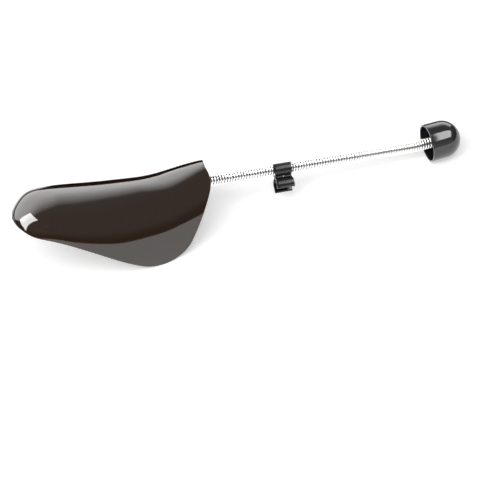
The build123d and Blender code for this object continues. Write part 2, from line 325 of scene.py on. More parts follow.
# surfaces: scales are per metre, and a span says where noise of 0 to 1 starts and ends to show
mouldedSkin = {
    "wave": {"scale": 38.0, "detail": 1.0},
    "grain": {"scale": 2600.0, "detail": 2.0},
    "smudge": {"scale": 22.0, "detail": 4.0},
    "smudgeSpan": (0.35, 0.75),
    "smudgeRoughness": (0.85, 1.35),  # times the given roughness
    "scratch": {"scale": 1.0, "detail": 2.0},
    "scratchTurn": (0.3, 0.5, 0.4),
    "scratchStretch": (30.0, 900.0, 700.0),
    "scratchSpan": (0.66, 0.74),
    "scratchRoughness": 0.25,
    "scratchHeight": -0.02,
}
fineDust = {
    "specks": {"scale": 900.0, "detail": 3.0},
    "specksSpan": (0.62, 0.75),
    "upSpan": (0.1, 1.0),  # of the Z of the way that the surface looks
    "color": (0.42, 0.40, 0.37, 1),
}
metalStreaks = {
    "streaks": {"scale": 1.0, "detail": 3.0},
    "darkest": 0.86,  # times the given colour
    "roughness": (0.6, 1.4),  # times the given roughness
    "bumpStrength": 0.6,
}


def makeMouldedGroup():
    # roughness = given * smudge + scratch share, height = wave + grain - scratch: slow waviness
    # of the skin, fine grain, and hairline scratches
    look = mouldedSkin
    group, given, result = newGroup(
        "mouldedSkin",
        {"Waviness": 0.02, "Grain": 0.02, "Scratches": 0.3, "Roughness": 0.15},
        {"Roughness": "NodeSocketFloat", "Height": "NodeSocketFloat"},
    )
    place = put(group, "ShaderNodeTexCoord").outputs["Object"]
    stretch = {"Vector": place, "Rotation": look["scratchTurn"], "Scale": look["scratchStretch"]}
    hair = noise(group, put(group, "ShaderNodeMapping", stretch).outputs["Vector"], **look["scratch"])
    scratch = calc(group, "MULTIPLY", spread(group, hair, look["scratchSpan"]), given["Scratches"])
    smudge = noise(group, place, **look["smudge"])
    smudged = spread(group, smudge, look["smudgeSpan"], look["smudgeRoughness"])
    rough = calc(group, "MULTIPLY", given["Roughness"], smudged)
    waves = calc(group, "MULTIPLY", noise(group, place, **look["wave"]), given["Waviness"])
    grained = calc(group, "MULTIPLY_ADD", noise(group, place, **look["grain"]), given["Grain"], waves)
    fill(group, result, {
        "Roughness": calc(group, "MULTIPLY_ADD", scratch, look["scratchRoughness"], rough),
        "Height": calc(group, "MULTIPLY_ADD", scratch, look["scratchHeight"], grained),
    })
    return group


def makeDustGroup():
    # mask = specks * how far the surface looks up * amount, and the colour turns to dust with it
    look = fineDust
    group, given, result = newGroup(
        "fineDust",
        {"Base Color": (0.02, 0.02, 0.02, 1), "Amount": 0.2},
        {"Color": "NodeSocketColor"},
    )
    place = put(group, "ShaderNodeTexCoord").outputs["Object"]
    up = partOf(group, put(group, "ShaderNodeNewGeometry").outputs["Normal"], "Z")
    specks = spread(group, noise(group, place, **look["specks"]), look["specksSpan"])
    settled = calc(group, "MULTIPLY", specks, spread(group, up, look["upSpan"]))
    mask = calc(group, "MULTIPLY", settled, given["Amount"])
    fill(group, result, {"Color": mixColors(group, mask, given["Base Color"], look["color"])})
    return group


mouldedGroup = makeMouldedGroup()
dustGroup = makeDustGroup()


def plastic(name, color, ior, roughness, waviness, grain, scratches, dust, bump):
    # moulded plastic: the skin group drives roughness and bump, the dust group the colour
    material, tree, shader = newMaterial(name, {"IOR": ior})
    skin = put(tree, "ShaderNodeGroup", node_tree=mouldedGroup)
    fill(tree, skin, {"Waviness": waviness, "Grain": grain, "Scratches": scratches, "Roughness": roughness})
    film = put(tree, "ShaderNodeGroup", node_tree=dustGroup)
    fill(tree, film, {"Base Color": (*color, 1), "Amount": dust})
    lift = put(tree, "ShaderNodeBump", {"Strength": 1.0, "Distance": bump, "Height": skin.outputs["Height"]})
    fill(tree, shader, {
        "Normal": lift.outputs["Normal"],
        "Roughness": skin.outputs["Roughness"],
        "Base Color": film.outputs["Color"],
    })
    return material


def steel(name, color, roughness, follows, streakScale, bump, paintedGapShade=None):
    # bright metal: faint streaks, long in the way whose scale is small; with painted gap shade, the metal
    # is painted dark where the second UV number is below its span (painted shade in the gaps between the
    # coils), and turns bright over it
    look = metalStreaks
    material, tree, shader = newMaterial(name, {"Metallic": 1.0})
    place = put(tree, "ShaderNodeTexCoord").outputs
    stretch = put(tree, "ShaderNodeMapping", {"Vector": place[follows], "Scale": streakScale})
    streaks = noise(tree, stretch.outputs["Vector"], **look["streaks"])
    tint = mixColors(tree, streaks, (*[c * look["darkest"] for c in color], 1), (*color, 1))
    if paintedGapShade:
        # painted shade: the coils' sides and inside are darkened in the colour, standing in for the shade in
        # the gaps between the coils
        outsideGapShade = spread(tree, partOf(tree, place["UV"], "Y"), paintedGapShade["span"], interpolation_type="SMOOTHSTEP")
        tint = mixColors(tree, outsideGapShade, (*[c * paintedGapShade["shade"] for c in color], 1), tint)
    bumps = {"Strength": look["bumpStrength"], "Distance": bump, "Height": streaks}
    lift = put(tree, "ShaderNodeBump", bumps)
    fill(tree, shader, {
        "Base Color": tint,
        "Roughness": spread(tree, streaks, (0.0, 1.0), [roughness * times for times in look["roughness"]]),
        "Normal": lift.outputs["Normal"],
    })
    return material


plastics = {
    "shellPlastic": {
        "color": (0.018, 0.007, 0.002),
        "ior": 1.58,
        "roughness": 0.07,
        "waviness": 0.2,
        "grain": 0.02,
        "scratches": 0.25,
        "dust": 0.05,
        "bump": 0.25 * mm,
    },
    "capPlastic": {
        "color": (0.014, 0.013, 0.015),
        "ior": 1.58,
        "roughness": 0.08,
        "waviness": 0.2,
        "grain": 0.03,
        "scratches": 0.25,
        "dust": 0.05,
        "bump": 0.2 * mm,
    },
    "clipPlastic": {
        "color": (0.005, 0.005, 0.005),
        "ior": 1.42,
        "roughness": 0.17,
        "waviness": 0.3,
        "grain": 0.10,
        "scratches": 0.30,
        "dust": 0.05,
        "bump": 0.2 * mm,
    },
    "corePlastic": {
        "color": (0.030, 0.030, 0.030),
        "ior": 1.58,
        "roughness": 0.50,
        "waviness": 0.3,
        "grain": 0.30,
        "scratches": 0.10,
        "dust": 0.15,
        "bump": 0.3 * mm,
    },
}
steels = {
    "springSteel": {
        "color": (0.90, 0.90, 0.89),
        "roughness": 0.14,
        "follows": "UV",
        "streakScale": (2.0, 14.0, 1.0),
        "bump": 0.02 * mm,
        # painted shade in the gaps between the coils, where the second UV number is low
        "paintedGapShade": {"shade": 0.1, "span": (0.52, 0.67)},  # the coils' sides and inside
    },
    "screwSteel": {
        "color": (0.62, 0.62, 0.60),
        "roughness": 0.30,
        "follows": "Object",
        "streakScale": (60.0, 900.0, 900.0),
        "bump": 0.03 * mm,
    },
}
finishes = {name: plastic(name, **values) for name, values in plastics.items()}
finishes.update({name: steel(name, **values) for name, values in steels.items()})
print("materials made:", ", ".join(finishes))

# toe shell
toeShell = {
    "length": 142 * mm,
    "height": 71 * mm,  # of the form's rear end, above the toe tip's level
    "halfWidth": 38.25 * mm,  # at the ball
    "wall": 1.5 * mm,
    "liftDeg": 25.0,  # how far the toe points up
    "origin": (-175.36 * mm, 0.0, 50.269 * mm),  # the form's own corner, at the toe
    "edgeShares": ((-0.02, 0.006), (0.13, 0.062), (0.33, 0.045)),  # the lower edge, before the lobe
    "edgeSlope": 0.25,  # of the lower edge at the tip
    "tipShare": 0.012,  # how high the tip is
    "lobeCentre": (99 * mm, 23.8 * mm),
    "lobeRadius": 30 * mm,
    "lobeStartDeg": 8.0,
    "rimDeg": 80.0,
    "peakDrop": 15.5 * mm,
    "peakReach": 12.5 * mm,
    "under": 4 * mm,  # how far the form runs on below its base, for trimming
    "underStartShare": 0.045,  # and how soon after the tip, as a root of the share of the length
    "sideShare": 0.66,  # where the flank's cubic is drawn to, from base to crown
    "rows": 220,
    "bunching": 1.8,  # 1 spreads the rows evenly, and more crowds them at the tip
    "columns": 44,
    "rimShares": (0, 0.03, 0.12, 0.27, 0.5, 0.75, 1.0, 1.6),  # columns at the rim, in half walls from it
    "rimLimitShare": 0.9,  # of a narrow row, which these may take
    "edgeSteps": {"lower": 400, "lobe": 200, "rim": 120, "peak": 200},
}
# along, crown, base, width and crown flatness
stationShares = np.array([
    (0.0000, 0.012, 0.006, 0.000, 0.68),
    (0.0085, 0.075, 0.010, 0.220, 0.68),
    (0.0317, 0.145, 0.022, 0.412, 0.68),
    (0.0704, 0.214, 0.042, 0.608, 0.68),
    (0.1270, 0.266, 0.062, 0.726, 0.68),
    (0.2110, 0.314, 0.050, 0.815, 0.68),
    (0.3240, 0.363, 0.000, 0.911, 0.68),
    (0.4510, 0.427, -0.065, 0.975, 0.67),
    (0.5920, 0.512, -0.100, 1.000, 0.66),
    (0.7320, 0.629, -0.113, 0.968, 0.645),
    (0.8450, 0.781, -0.113, 0.930, 0.61),
    (0.9300, 0.891, -0.113, 0.910, 0.54),
    (1.0000, 0.965, -0.113, 0.895, 0.45),
])


def archPoint(x, t):
    # half of one arch of the form: a cubic from the crown (t = 0) out and down the flank (t = 1),
    # y = 3(1-t)^2 t c w + 3(1-t) t^2 w + t^3 w, z likewise from crown, crown, shoulder, base;
    # crown, base, w and c follow splines in the root of the share along the form
    q = np.sqrt(np.clip(x, 0, None) / toeShell["length"])
    knots = np.sqrt(stationShares[:, 0])
    crown, base, width, flat = (splineThrough(knots, stationShares[:, k], q) for k in (1, 2, 3, 4))
    crown, base = crown * toeShell["height"], base * toeShell["height"]
    width = width * toeShell["halfWidth"]
    shoulder = base + toeShell["sideShare"] * (crown - base)
    base = base - toeShell["under"] * np.tanh(q / toeShell["underStartShare"])
    a, b = 1 - t, t
    y = 3 * a * a * b * flat * width + 3 * a * b * b * width + b**3 * width
    z = (a**3 + 3 * a * a * b) * crown + 3 * a * b * b * shoulder + b**3 * base
    return y, z


def shellBoundary():
    # the shell's edge in its side view, from the tip along the lower edge (a spline), round the
    # lobe, up the straight rim and over the peak (an arc) to where it meets the crown; its points
    # are spread by length^bunching
    form, steps = toeShell, toeShell["edgeSteps"]
    lobe, radius, startDeg = np.array(form["lobeCentre"]), form["lobeRadius"], form["lobeStartDeg"]
    start = lobe + radius * wayAt(-90 - startDeg)
    points = np.vstack([np.array(form["edgeShares"]) * (form["length"], form["height"]), start])
    s = lengthAlong(points)
    fine = np.linspace(0, s[-1], steps["lower"])
    first = np.array([1, form["edgeSlope"]]) / math.hypot(1, form["edgeSlope"])
    last = wayAt(-startDeg)
    lower = np.stack([splineThrough(s, points[:, k], fine, first[k], last[k]) for k in (0, 1)], -1)
    lower = lower[lower[:, 0] > 0]
    lobeArc = arc(lobe, radius, -90 - startDeg, form["rimDeg"] - 90, steps["lobe"])
    rimWay = wayAt(form["rimDeg"])
    rimLength = (form["height"] - form["peakDrop"] - lobeArc[-1][1]) / rimWay[1]
    rim = lobeArc[-1] + rimWay * rimLength * np.linspace(0, 1, steps["rim"])[:, None]
    # the peak's arc leaves the rim without a corner and would reach peakReach forward and up
    chord = form["peakReach"] * np.array([-1, 1])
    side = np.array([-rimWay[1], rimWay[0]])
    peakRadius = chord @ chord / (2 * chord @ side)
    middle = rim[-1] + side * peakRadius
    peak = arc(middle, peakRadius, form["rimDeg"] - 90, degOf(rim[-1] + chord - middle), steps["peak"])
    tip = [(0.0, form["tipShare"] * form["height"])]
    line = np.concatenate([tip, lower, lobeArc[1:], rim[1:], peak[1:]])
    above = line[:, 1] - archPoint(line[:, 0], np.zeros(len(line)))[1]
    over = np.nonzero((above > 0) & (np.arange(len(line)) > len(line) - steps["peak"]))[0][0]
    share = above[over - 1] / (above[over - 1] - above[over])
    crossing = line[over - 1] + (line[over] - line[over - 1]) * share
    line = np.concatenate([line[:over], crossing[None]])
    s = lengthAlong(line)
    at = s[-1] * np.linspace(0, 1, form["rows"]) ** form["bunching"]
    return np.stack([np.interp(at, s, line[:, k]) for k in (0, 1)], -1)


def fromForm(places):
    # the form's own places (x, y, z), turned by the toe's lift and moved to its corner
    x, z = turned(places[..., 0], places[..., 2], toeShell["liftDeg"])
    return np.array(toeShell["origin"]) + np.stack([x, places[..., 1], z], -1)


def buildShell():
    # a sheet of the form's surface between the ridge (v = 0) and the edge (v = 1), mirrored,
    # whose outside lies h(s) and whose inside lies wall - h(s) below the form, where s is the
    # distance to the edge and h = r - sqrt(r^2 - (r - s)^2) rounds the rim with r half the wall
    form = toeShell
    edge = shellBoundary()
    edgeShare = lastWhere(lambda t: archPoint(edge[:, 0], t)[1] > edge[:, 1], np.ones(form["rows"]))
    edgeShare[0] = edgeShare[-1] = 0
    ridgeX = edge[-1, 0] * np.linspace(0, 1, form["rows"]) ** form["bunching"]

    def sheet(v):
        # the form's surface, (x, y, z), between the ridge and the edge
        x = ridgeX[:, None] * (1 - v) + edge[:, :1] * v
        y, z = archPoint(x, edgeShare[:, None] * v)
        return np.stack([x, y, z], -1)

    rough = sheet(np.linspace(0, 1, form["columns"])[None, :])
    length = np.linalg.norm(np.diff(rough, axis=1), axis=-1).sum(1)
    # columns near the edge at fixed distances from it, the rest evenly spread
    r = form["wall"] / 2
    near = r * np.array(form["rimShares"][::-1])
    evenly = np.linspace(0, 1, form["columns"] - len(near) + 1)[:-1]
    safe = np.maximum(length, meshing["tiny"])[:, None]
    limit = safe * np.linspace(form["rimLimitShare"], 0, len(near))[None, :]
    nearShare = 1 - np.minimum(near[None, :], limit) / safe
    v = np.concatenate([evenly[None, :] * nearShare[:, :1], nearShare], 1)
    p = sheet(v)
    p[:, 0, 1] = p[0, :, 1] = p[-1, :, 1] = 0
    normal = np.cross(np.gradient(p, axis=1), np.gradient(p, axis=0))
    normal[:, 0, 1] = 0
    normal = unitWays(normal)
    for end, beside in ((0, 1), (-1, -2)):
        normal[end] = unitWays(normal[beside].mean(0) * (1, 0, 1))
    if normal[form["rows"] // 2, 0, 2] < 0:
        normal = -normal
    left = np.clip(r - (1 - v) * safe, 0, r)
    depth = (r - np.sqrt(np.maximum(r * r - left * left, 0)))[..., None]
    outside, inside = p - normal * depth, p - normal * (form["wall"] - depth)
    mirror = np.array([1, -1, 1])
    # round the wall: one edge to the crown to the other edge outside, then back inside
    loop = np.concatenate([
        outside[:, ::-1], outside[:, 1:] * mirror,
        inside[:, -2::-1] * mirror, inside[:, 1:-1],
    ], 1)
    faces = gridQuads(form["rows"], loop.shape[1], closeColumns=True)
    piece = addMesh(
        "toeShell", fromForm(loop).reshape(-1, 3), faces, finishes["shellPlastic"],
        weld=meshing["gridWeld"], outward=(0, 0, 1),
    )
    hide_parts("toe_shell")
    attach(piece, "toe")
    return piece


shellPiece = buildShell()
print("toe shell:", len(shellPiece.data.polygons), "faces")

# heel cap
heelCap = {
    "radius": 15 * mm,
    "skirt": 12 * mm,
    "wall": 1.4 * mm,
    "lip": 0.4 * mm,
    "bossRadius": 5.5 * mm,
    "bossFront": -4 * mm,  # from the dome's middle
    "bossFillet": 1.0 * mm,
    "bossFilletLength": 1.3 * mm,
    "bossEdge": 0.2 * mm,
    "holeRadius": 2.35 * mm,
    "holeEnd": 5.05 * mm,
    "ribHalf": 0.6 * mm,
    "ribCount": 4,
    "ribRootShare": 0.8,  # of the boss's radius
    "ribBevel": 0.15 * mm,
    "ribColumns": 20,
    "turns": 128,
    "steps": {"dome": 40, "lip": 7, "inside": 30, "fillet": 7, "bossEdge": 4},
}
# the dome's middle: the cap stands on the floor and ends where the whole object does
capMiddle = np.array([cadBox[1][0] - heelCap["radius"], 0, heelCap["radius"]])


def buildHeelCap():
    # half section from the dome's top round the lip and back along the inside to the bottom of
    # the boss's hole: arcs of the two radii, and a curve b1^2, 2 b1 b2, b2^2 at the boss's root
    cap, steps = heelCap, heelCap["steps"]
    outer, inner, lip = cap["radius"], cap["radius"] - cap["wall"], cap["lip"]
    boss, front, edge, hole = cap["bossRadius"], cap["bossFront"], cap["bossEdge"], cap["holeRadius"]
    mouth = lip - cap["skirt"]
    root = np.array([(math.sqrt(inner**2 - r**2), r) for r in (boss + cap["bossFillet"], boss)])
    b = np.linspace(0, 1, steps["fillet"])[:, None]
    end = root[1] - (cap["bossFilletLength"], 0)
    fillet = (1 - b) ** 2 * root[0] + 2 * b * (1 - b) * root[1] + b**2 * end
    profile = np.concatenate([
        arc((0, 0), outer, 0, 90, steps["dome"]),
        arc((mouth, outer - lip), lip, 90, 180, steps["lip"]),
        arc((mouth, inner + lip), lip, 180, 270, steps["lip"]),
        arc((0, 0), inner, 90, degOf(root[0]), steps["inside"]),
        fillet[1:],
        arc((front + edge, boss - edge), edge, 90, 180, steps["bossEdge"]),
        arc((front + edge, hole + edge), edge, 180, 270, steps["bossEdge"]),
        [(cap["holeEnd"], hole), (cap["holeEnd"], 0.0)],
    ])
    profile[0, 1] = 0.0
    piece = lathe("heelCap", profile, capMiddle, cap["turns"], finishes["capPlastic"])
    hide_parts("heel_cap")
    # ribs: bars round the boss whose outer edge r = sqrt(R^2 - s^2) is in the dome's wall
    middle = (outer + inner) / 2
    s = np.linspace(0, math.sqrt(middle**2 - boss**2), cap["ribColumns"])
    low, high = cap["ribRootShare"] * boss + 0 * s, np.sqrt(middle**2 - s**2)
    corners = [(low, -1), (low, 1), (high, 1), (high, -1)]
    along = capMiddle + s[:, None] * (1, 0, 0)
    bars = []
    for k in range(cap["ribCount"]):
        c, d = wayAt(360 * k / cap["ribCount"])
        out, side = np.array([0, c, d]), cap["ribHalf"] * np.array([0, -d, c])
        bars.append(np.stack([along + r[:, None] * out + way * side for r, way in corners], 1))
    ribs = addBars("capRibs", bars, finishes["capPlastic"], cap["ribBevel"])
    for part in (piece, ribs):
        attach(part, "heel")


buildHeelCap()
print("heel cap made")

# spring
spring = {
    "anchorDepth": 22 * mm,  # from the rear end of the form to the web's rear face
    "anchorHeight": 44 * mm,
    "bendReach": 10 * mm,  # how long before and after its corner the line is bent
    "tailStraight": 4.7 * mm,  # from the end of the bend to the cap's boss
    "coilRadius": 3.45 * mm,
    "wireRadius": 0.85 * mm,
    "start": 2.3 * mm,  # of the wire, from either end of the line
    "turns": 93,
    "stepsPerTurn": 30,
    "sides": 12,
    "endRingShares": ((0.0, 0.10), (0.6, 0.09), (0.9, 0.04)),  # size and way past the end
    "bendFrom": 99 * mm,  # up to here along the line it follows the toe alone
    "bendTo": 190 * mm,  # and from here on the heel alone
}
# the sloping line from the anchor meets the level one into the cap at the corner
formDepth = toeShell["length"] - spring["anchorDepth"]
springAnchor = fromForm(np.array([formDepth, 0, spring["anchorHeight"]]))
cornerBack = heelCap["bossFront"] - spring["tailStraight"] - spring["bendReach"]
springCorner = capMiddle + (cornerBack, 0, 0)
springWay = unitWays(springCorner - springAnchor)
springUp = np.array([-springWay[2], 0, springWay[0]])
acrossWay = np.array([0.0, 1.0, 0.0])
dipAngle = math.asin(-springWay[2])
bendRadius = spring["bendReach"] / math.tan(dipAngle / 2)
straightLength = np.linalg.norm(springCorner - springAnchor) - spring["bendReach"]
springLength = straightLength + bendRadius * dipAngle + spring["tailStraight"]


def springLine(distance):
    # the spring's centre line: straight, then an arc of bendRadius that uses up the dip, then
    # level; and the way that is down from it there
    bent = np.clip(distance - straightLength, 0, bendRadius * dipAngle)
    dip = dipAngle - bent / bendRadius
    heading = np.stack([np.cos(dip), 0 * dip, -np.sin(dip)], -1)
    under = np.stack([-np.sin(dip), 0 * dip, -np.cos(dip)], -1)
    straight = springWay * np.minimum(distance, straightLength)[..., None]
    level = np.maximum(distance - straightLength - bendRadius * dipAngle, 0)[..., None]
    return springAnchor + straight + (under + springUp) * bendRadius + heading * level, under


def buildSpring():
    # wire centre = line(s) + R (cos a across + sin a under) with s rising evenly with a; round it
    # a ring r (cos b out + sin b beside), and the ends are closed by rings that shrink
    count = spring["turns"] * spring["stepsPerTurn"] + 1
    turn = np.linspace(0, spring["turns"], count)
    a = 2 * np.pi * turn[:, None]
    distance = spring["start"] + (springLength - 2 * spring["start"]) * turn / spring["turns"]
    place, under = springLine(distance)
    out = acrossWay * np.cos(a) + under * np.sin(a)
    wire = place + out * spring["coilRadius"]
    way = unitWays(np.gradient(wire, axis=0))
    beside = unitWays(np.cross(way, out))
    b = np.linspace(0, 2 * np.pi, spring["sides"], endpoint=False)
    r = spring["wireRadius"]
    ring = r * (np.cos(b)[None, :, None] * out[:, None] + np.sin(b)[None, :, None] * beside[:, None])
    ends = spring["endRingShares"]
    first = np.stack([wire[0] - way[0] * r * past + size * ring[0] for size, past in ends])
    last = np.stack([wire[-1] + way[-1] * r * past + size * ring[-1] for size, past in ends[::-1]])
    points = np.concatenate([first, wire[:, None] + ring, last])
    rows = len(points)
    # u counts the turns, and v is 1 on the outside of the coils and 0 inside them
    u = np.linspace(0, spring["turns"], rows)[:, None] + 0 * b[None, :]
    v = np.abs(b / np.pi - 1)[None, :] + 0 * u
    piece = addMesh(
        "coilSpring", points.reshape(-1, 3), gridQuads(rows, spring["sides"], closeColumns=True),
        finishes["springSteel"], weld=meshing["wireWeld"], outward=(0, 0, 1),
        uvs=np.stack([u, v], -1).reshape(-1, 2),
    )
    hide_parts("coil_spring")
    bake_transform(piece)
    return piece


springPiece = buildSpring()
print("spring:", len(springPiece.data.polygons), "faces, length", round(springLength / mm, 1), "mm")

# web that the spring is screwed to, and its gussets, under the crown
anchorWeb = {
    "thickness": 3.0 * mm,
    "halfWidth": 9.0 * mm,  # at the height of the spring's axis
    "below": 7.5 * mm,  # how far the web reaches below the axis
    "holeRadius": 1.4 * mm,
    "gussetThickness": 1.8 * mm,
    "gussetOffset": 6.5 * mm,
    "gussetEnds": ((-24.0 * mm, 2.0 * mm), (-1.5 * mm, -4.0 * mm)),  # along and up, of its lower edge
    "bevel": 0.3 * mm,
    "columns": 25,
    "crownWithin": 40 * mm,  # the crown is nearer than this
    "sinkShare": 0.55,  # how deep in the crown's wall the web ends
}


def anchorPlace(along, across, up):
    # a point that far along the spring from its anchor, across it and above it
    parts = np.broadcast_arrays(along, across, up)
    ways = (springWay, acrossWay, springUp)
    return springAnchor + sum(part[..., None] * way for part, way in zip(parts, ways))


def archOver(x, y):
    # the height of the form at (x, y), read where its arch is y wide
    return archPoint(x, lastWhere(lambda t: archPoint(x, t)[0] < y, np.ones_like(x)))[1]


def reachCrown(along, across):
    # how far above the spring's axis the crown's wall is reached
    along, across = (np.array(v, float) for v in np.broadcast_arrays(along, across))
    sink = anchorWeb["sinkShare"] * toeShell["wall"]

    def below(up):
        place = anchorPlace(along, across, up) - np.array(toeShell["origin"])
        x, z = turned(place[..., 0], place[..., 2], -toeShell["liftDeg"])
        return z < archOver(x, np.abs(across)) - sink

    return lastWhere(below, np.full_like(along, anchorWeb["crownWithin"]))


def webBar(along, across, bottom):
    # rings of a plate that reaches up to the crown: at each column its four corners, first side
    # bottom, second side bottom, second side top, first side top; along and across hold both sides
    tops = [reachCrown(s, y) for s, y in zip(along, across)]
    corners = ((0, bottom), (1, bottom), (1, tops[1]), (0, tops[0]))
    return np.stack([anchorPlace(along[k], across[k], up) for k, up in corners], 1)


def buildAnchorWeb():
    # web: bottom edge w = c - sqrt(R^2 - y^2) through (0, -below) and (+-halfWidth, 0);
    # gussets: straight bottom edge between their two ends
    web, skin = anchorWeb, finishes["shellPlastic"]
    radius = (web["halfWidth"] ** 2 + web["below"] ** 2) / (2 * web["below"])
    y = web["halfWidth"] * np.sin(np.linspace(-np.pi / 2, np.pi / 2, web["columns"]))
    bottom = radius - web["below"] - np.sqrt(radius**2 - y**2)
    rings = webBar((0 * y - web["thickness"], 0 * y), (y, y), bottom)
    plate = addBars("anchorWeb", [rings], skin, web["bevel"])
    drill(plate, springAnchor, springWay, web["holeRadius"], web["thickness"])
    s, bottom = np.linspace(*web["gussetEnds"], web["columns"]).T
    gussets = []
    for middle in (-web["gussetOffset"], web["gussetOffset"]):
        sides = [middle + k * web["gussetThickness"] / 2 + 0 * s for k in (-1, 1)]
        gussets.append(webBar((s, s), sides, bottom))
    ribs = addBars("webGussets", gussets, skin, web["bevel"])
    for piece in (plate, ribs):
        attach(piece, "toe")


buildAnchorWeb()
print("web and gussets made")

# pair clip
pairClip = {
    "fromAnchor": 78.5 * mm,  # along the spring
    "hangDeg": 40.0,  # how far the free jaw is turned towards the front from straight down
    "inner": 4.45 * mm,
    "wall": 1.35 * mm,
    "bead": 0.95 * mm,
    "halfNeck": 2.6 * mm,
    "lipDeg": 128.0,  # where a jaw's lip ends, from the neck
    "frontLipDeg": 113.0,  # the free jaw's front lip is shorter
    "backFlare": 1.9 * mm,  # and its back one runs on straight
    "halfWidth": 7 * mm,
    "waistDepth": 0.6 * mm,  # how deep the neck is drawn in at its ends
    "waistLength": 2.4 * mm,
    "endRound": 0.3 * mm,
    "holeRadius": 0.65 * mm,
    "steps": {"fillet": 8, "outer": 40, "bead": 20, "inner": 44, "round": 5, "across": 11},
}


def jawHalf(lipDeg, flare):
    # one side of one jaw about (0, 0), neck at +p: neck fillet, outer arc, bead, inner arc. The
    # fillet's radius is h^2 / (2 (outer - h)), the bead's circle meets the outer one where the
    # cosine rule says, and touches the inner one; flare moves the bead on, away from the neck
    clip, steps = pairClip, pairClip["steps"]
    inner, outer, bead, half = clip["inner"], clip["inner"] + clip["wall"], clip["bead"], clip["halfNeck"]
    reach = inner + bead
    fillet = half**2 / (2 * (outer - half))
    filletCentre = (outer, half + fillet)
    meets = degOf(filletCentre)
    apart = math.degrees(math.acos((outer**2 + reach**2 - bead**2) / (2 * outer * reach)))
    beadCentre = reach * wayAt(lipDeg)
    outerArc = arc((0, 0), outer, meets, lipDeg - apart, steps["outer"])
    beadDeg = degOf(outerArc[-1] - beadCentre)
    first = 0 if flare else 1
    return np.concatenate([
        arc(filletCentre, fillet, -90, meets - 180, steps["fillet"]),
        outerArc[1:],
        arc(beadCentre - (flare, 0), bead, beadDeg, lipDeg + 180, steps["bead"])[first:],
        arc((0, 0), inner, lipDeg, 0, steps["inner"])[first:],
    ])


def buildPairClip():
    # the closed outline (p, q) is drawn out along the spring to +-(halfWidth - waistDepth
    # exp(-((p - neck) / waistLength)^2)); at both ends the rings are inset on a quarter circle
    clip, steps = pairClip, pairClip["steps"]
    neck = clip["inner"] + clip["wall"]
    plain, back = (jawHalf(clip["lipDeg"], flare) for flare in (0, clip["backFlare"]))
    front = jawHalf(clip["frontLipDeg"], 0)
    flip, far = np.array([1, -1]), np.array([2 * neck, 0])
    line = np.concatenate([
        plain[:-1], (plain * flip)[:0:-1], (far - front)[:-1], (far - back * flip)[:0:-1],
    ])
    way = unitWays(np.roll(line, -1, axis=0) - np.roll(line, 1, axis=0))
    inward = np.stack([-way[:, 1], way[:, 0]], -1)
    a = np.radians(np.linspace(0, 90, steps["round"]))
    between = np.linspace(-1, 1, steps["across"])[1:-1]
    share = np.concatenate([0 * a - 1, between, 0 * a + 1])
    inset = clip["endRound"] * np.concatenate([1 - np.sin(a), 0 * between, 1 - np.sin(a[::-1])])
    short = clip["endRound"] * np.concatenate([1 - np.cos(a), 0 * between + 1, 1 - np.cos(a[::-1])])
    waist = clip["waistDepth"] * np.exp(-(((line[:, 0] - neck) / clip["waistLength"]) ** 2))
    along = share[:, None] * (clip["halfWidth"] - waist[None] - short[:, None])
    flat = line[None] + inset[:, None, None] * inward[None]
    hang = math.radians(clip["hangDeg"])
    hangWay = -springUp * math.cos(hang) - acrossWay * math.sin(hang)
    sideWay = np.cross(springWay, hangWay)
    drawn = flat[..., :1] * hangWay + flat[..., 1:] * sideWay
    middle = springAnchor + springWay * clip["fromAnchor"]
    points = middle + drawn + along[..., None] * springWay
    rows, columns = len(share), len(line)
    faces = gridQuads(rows, columns, closeColumns=True).tolist()
    faces += [list(range(columns)), list(range((rows - 1) * columns, rows * columns))]
    skin = finishes["clipPlastic"]
    piece = addMesh("pairClip", points.reshape(-1, 3), faces, skin, edges=True, closed=True)
    drill(piece, middle + hangWay * neck, sideWay, clip["holeRadius"], clip["halfNeck"])
    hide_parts("pair_clip")
    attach(piece, "clip")


buildPairClip()
print("pair clip made")

# the pieces that stay as the frame brings them
carriedOver = {"toe_plug": "corePlastic", "heel_plug": "corePlastic", "toe_screw": "screwSteel"}
for node, finish in carriedOver.items():
    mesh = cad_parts[node].data
    mesh.materials.clear()
    mesh.materials.append(finishes[finish])

# floor, light and camera
floor = {
    "size": 9.0,
    "color": (0.92, 0.92, 0.92, 1),
    "roughness": 0.9,
    "cameraGlow": 0.38,
    "glossGlow": 1.0,
}


def buildFloor():
    # a plain sheet; its glow lifts it to white for the camera, and in gloss and glass too
    half = floor["size"] / 2
    points = np.array([(-half, -half, 0), (half, -half, 0), (half, half, 0), (-half, half, 0)])
    material, tree, shader = newMaterial("paperFloor", {
        "Base Color": floor["color"],
        "Roughness": floor["roughness"],
        "Specular IOR Level": 0.0,
        "Emission Color": (1, 1, 1, 1),
    })
    ray = put(tree, "ShaderNodeLightPath").outputs
    seen = calc(tree, "MULTIPLY", ray["Is Camera Ray"], floor["cameraGlow"])
    mirrored = calc(tree, "ADD", ray["Is Glossy Ray"], ray["Is Transmission Ray"], use_clamp=True)
    glow = calc(tree, "MULTIPLY_ADD", mirrored, floor["glossGlow"], seen)
    fill(tree, shader, {"Emission Strength": glow})
    addMesh("paperFloor", points, np.array([[0, 1, 2, 3]]), material)


buildFloor()

darkCard = {
    "near": 0.15,
    "far": 1.06,
    "bottom": 1 * mm,
    "top": 0.255,
    "nearLeft": -0.13,
    "farLeft": -0.045,
    "right": 1.6,
    "color": (0.01, 0.01, 0.01, 1),
}


